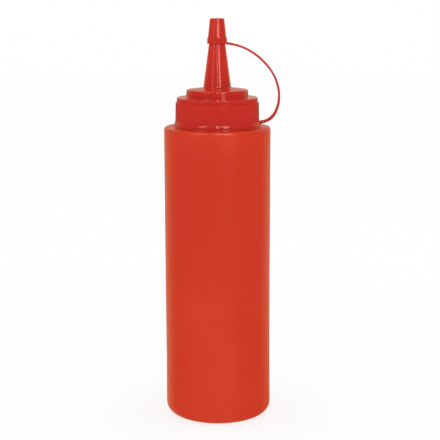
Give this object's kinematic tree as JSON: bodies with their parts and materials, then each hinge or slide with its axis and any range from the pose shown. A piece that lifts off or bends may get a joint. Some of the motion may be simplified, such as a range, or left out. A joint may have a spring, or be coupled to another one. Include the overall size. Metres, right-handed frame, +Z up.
{
  "type": "squeeze bottle",
  "caption": "Round plastic squeeze bottle with a stepped screw lid, a conical nozzle and a tip cap on a springy strap.",
  "frame": {"origin": "centre of the flat base, on the bottle's axis", "axes": "+Z up along the bottle's axis, +X towards the strap's bow, +Y away from the front"},
  "size_m": [0.0765, 0.0706, 0.265],
  "materials": {
    "body_plastic": "satin red polyethylene",
    "lid_plastic": "glossy red polyethylene",
    "cap_plastic": "glossy red polyethylene"
  },
  "bodies": {
    "root": {"bottle": "body_plastic", "lid": "lid_plastic", "cap_strap": "cap_plastic"}
  },
  "joints": []
}
